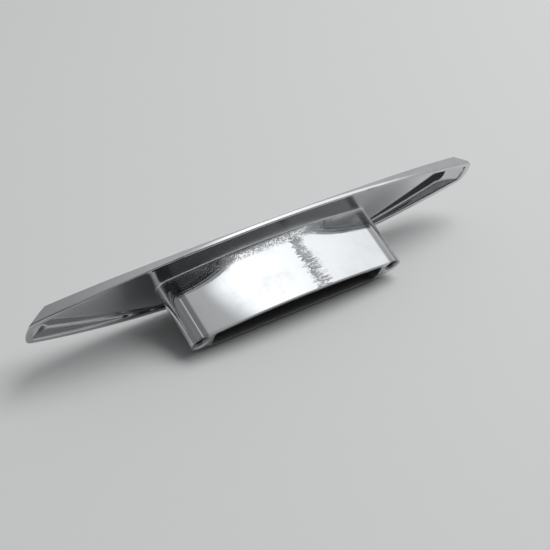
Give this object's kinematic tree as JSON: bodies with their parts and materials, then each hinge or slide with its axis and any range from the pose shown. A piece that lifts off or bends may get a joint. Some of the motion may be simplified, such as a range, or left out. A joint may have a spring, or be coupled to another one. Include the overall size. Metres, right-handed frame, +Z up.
{
  "type": "cabinet pull",
  "caption": "Chrome-plated cast cabinet pull: a long lens-shaped plate with blunt tips, carried on a hollow pedestal with tapped bosses that is screwed on from behind.",
  "frame": {"origin": "midway between the screw holes, on the flat mounting face of the pedestal", "axes": "+X along the length of the plate, +Y out of the mounting face towards the drawer front, +Z up as fitted"},
  "size_m": [0.1466, 0.0226, 0.031],
  "materials": {
    "chrome_plate": "polished chrome plate on a zinc die casting, fine handling scratches"
  },
  "bodies": {
    "root": {"pull_casting": "chrome_plate"}
  },
  "joints": []
}
